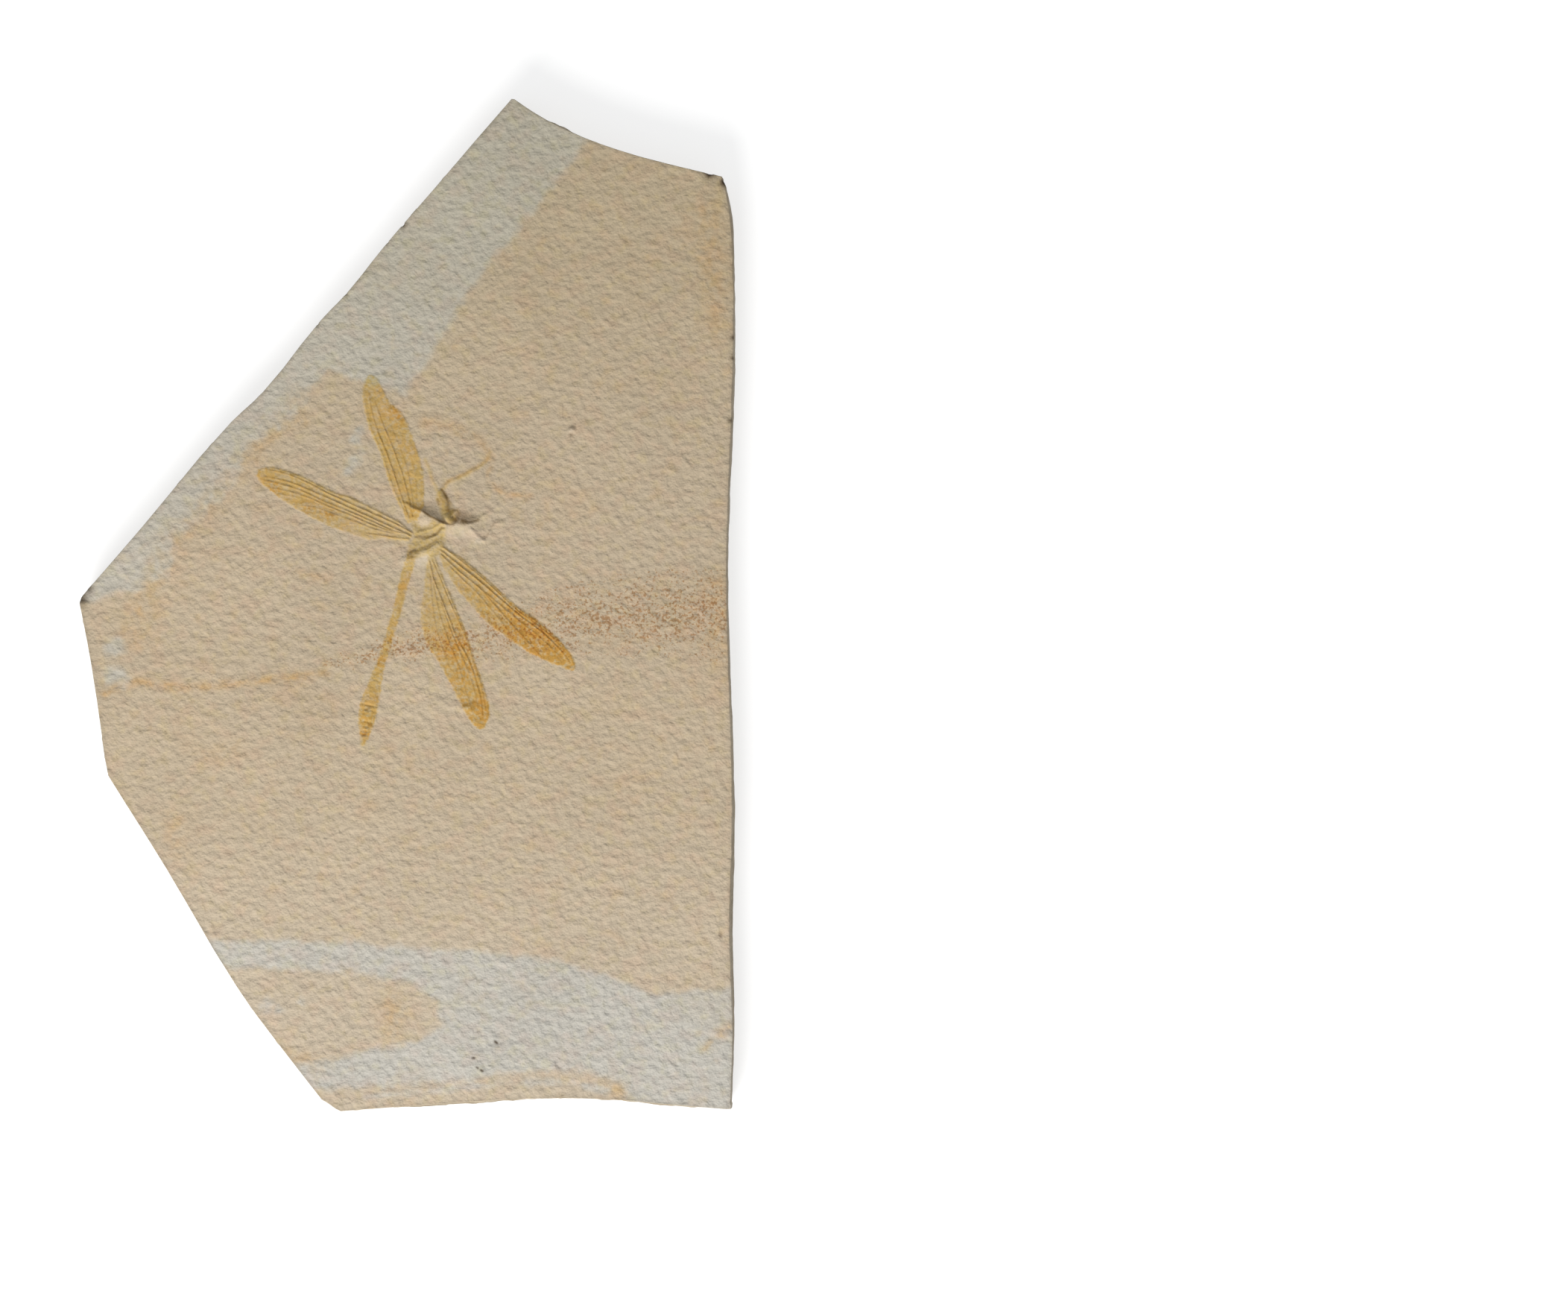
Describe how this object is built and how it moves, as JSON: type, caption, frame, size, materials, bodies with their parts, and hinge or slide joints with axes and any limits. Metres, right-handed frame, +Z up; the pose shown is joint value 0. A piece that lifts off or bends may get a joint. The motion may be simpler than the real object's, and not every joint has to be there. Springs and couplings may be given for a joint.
{
  "type": "fossil dragonfly",
  "caption": "Flat split limestone plate with a slender dragonfly in low relief: four narrow wings, a thin abdomen, head and legs, for display lying face up.",
  "frame": {"origin": "centre of the plate's plan box on its flat underside", "axes": "+Y up the plate as it is shown, along its longest side; +X to the right, towards the long straight edge; +Z up out of the fossil's face"},
  "size_m": [0.1418, 0.218, 0.0105],
  "materials": {
    "limestone": "matt fine-grained split stone with rust-coloured insect"
  },
  "bodies": {
    "root": {"fossil_slab": "limestone"}
  },
  "joints": []
}
